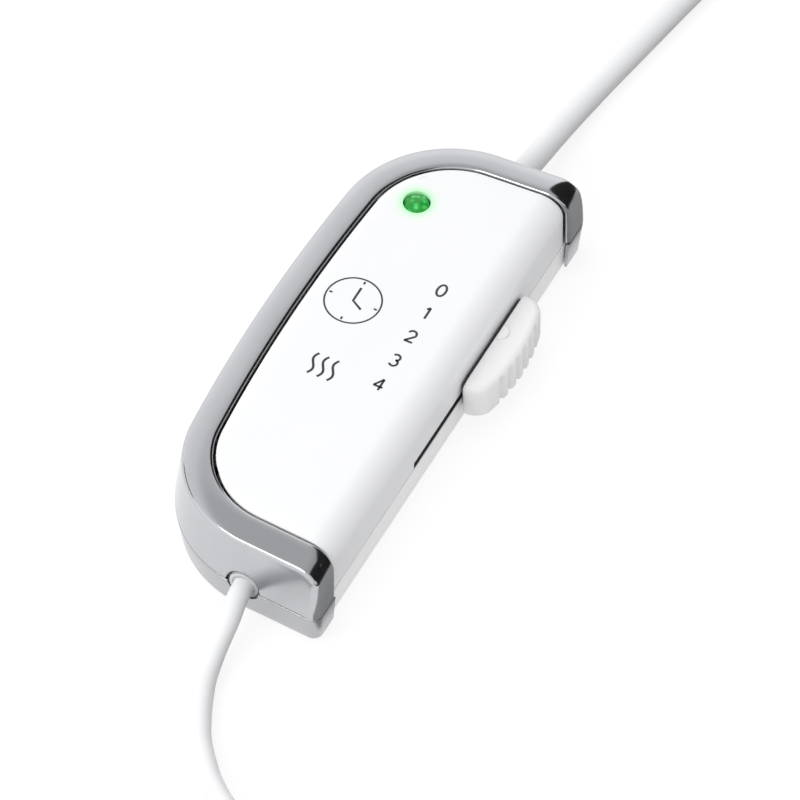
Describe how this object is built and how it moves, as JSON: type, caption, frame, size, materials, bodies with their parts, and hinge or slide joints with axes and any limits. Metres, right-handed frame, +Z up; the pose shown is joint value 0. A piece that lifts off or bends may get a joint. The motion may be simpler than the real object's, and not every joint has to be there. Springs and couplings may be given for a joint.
{
  "type": "heating pad controller",
  "caption": "Hand controller of a heating pad: low white housing with bright C-shaped trim, heat slider, green lamp, coiled mains lead with plug and coiled pad lead with connector.",
  "frame": {"origin": "middle of the flat base face that the controller rests on", "axes": "+X towards the slider flank, +Y along the housing towards the mains lead, +Z up"},
  "size_m": [0.0648, 0.5324, 0.0292],
  "materials": {
    "white_shell": "satin moulded",
    "bright_trim": "polished plating",
    "silver_trim": "satin",
    "knob_white": "fine matte",
    "dark_plastic": "moulded",
    "contact_brass": "rolled strip",
    "spring_steel": "rolled strip",
    "board_green": "solder mask",
    "lamp_green": "translucent",
    "fuse_glass": "clear tube with caps",
    "capacitor_yellow": "cast box",
    "component_black": "moulded",
    "varistor_blue": "dipped",
    "resistor_tan": "lacquer",
    "bush_grey": "soft moulded",
    "screw_steel": "zinc plated",
    "wire_brown": "extruded",
    "wire_blue": "extruded",
    "wire_red": "extruded",
    "cord_white": "extruded sheath",
    "tie_black": "hook and loop band",
    "plug_white": "moulded",
    "pin_brass": "nickel plated"
  },
  "bodies": {
    "housing": {"top_cover": "white_shell", "upper_trim_band": "bright_trim", "bottom_cover": "white_shell", "lower_trim_band": "silver_trim", "circuit_board": "board_green", "led": "lamp_green", "led_lens": "lamp_green", "fuse": "fuse_glass", "film_capacitor": "capacitor_yellow", "triac": "component_black", "control_chip": "component_black", "varistor": "varistor_blue", "electrolytic_capacitor": "component_black", "resistor_1": "resistor_tan", "resistor_2": "resistor_tan", "mains_bush": "bush_grey", "mains_cord_clamp": "white_shell", "clamp_screw_1": "screw_steel", "clamp_screw_2": "screw_steel", "pad_bush": "bush_grey", "pad_cord_clamp": "white_shell", "clamp_screw_3": "screw_steel", "clamp_screw_4": "screw_steel", "mains_wire_live": "wire_brown", "mains_wire_neutral": "wire_blue", "pad_wire_1": "wire_red", "pad_wire_2": "component_black", "housing_screw_1": "screw_steel", "housing_screw_2": "screw_steel", "housing_screw_3": "screw_steel", "housing_screw_4": "screw_steel", "mains_cord": "cord_white", "mains_cord_coil": "cord_white", "mains_cord_tail": "cord_white", "mains_cord_tie": "tie_black", "pad_cord": "cord_white", "pad_cord_coil": "cord_white", "pad_cord_tail": "cord_white", "pad_cord_tie": "tie_black", "mains_plug": "plug_white", "mains_plug_pin_1": "pin_brass", "mains_plug_pin_2": "pin_brass", "pad_connector": "plug_white"},
    "slider": {"slider_knob": "knob_white", "slider_carriage": "dark_plastic", "contact_wiper": "contact_brass", "detent_spring": "spring_steel"}
  },
  "joints": [
    {"name": "heat_slide", "type": "slide", "parent": "housing", "child": "slider", "axis": [0, -1, 0], "range_m": [0, 0.032]}
  ]
}
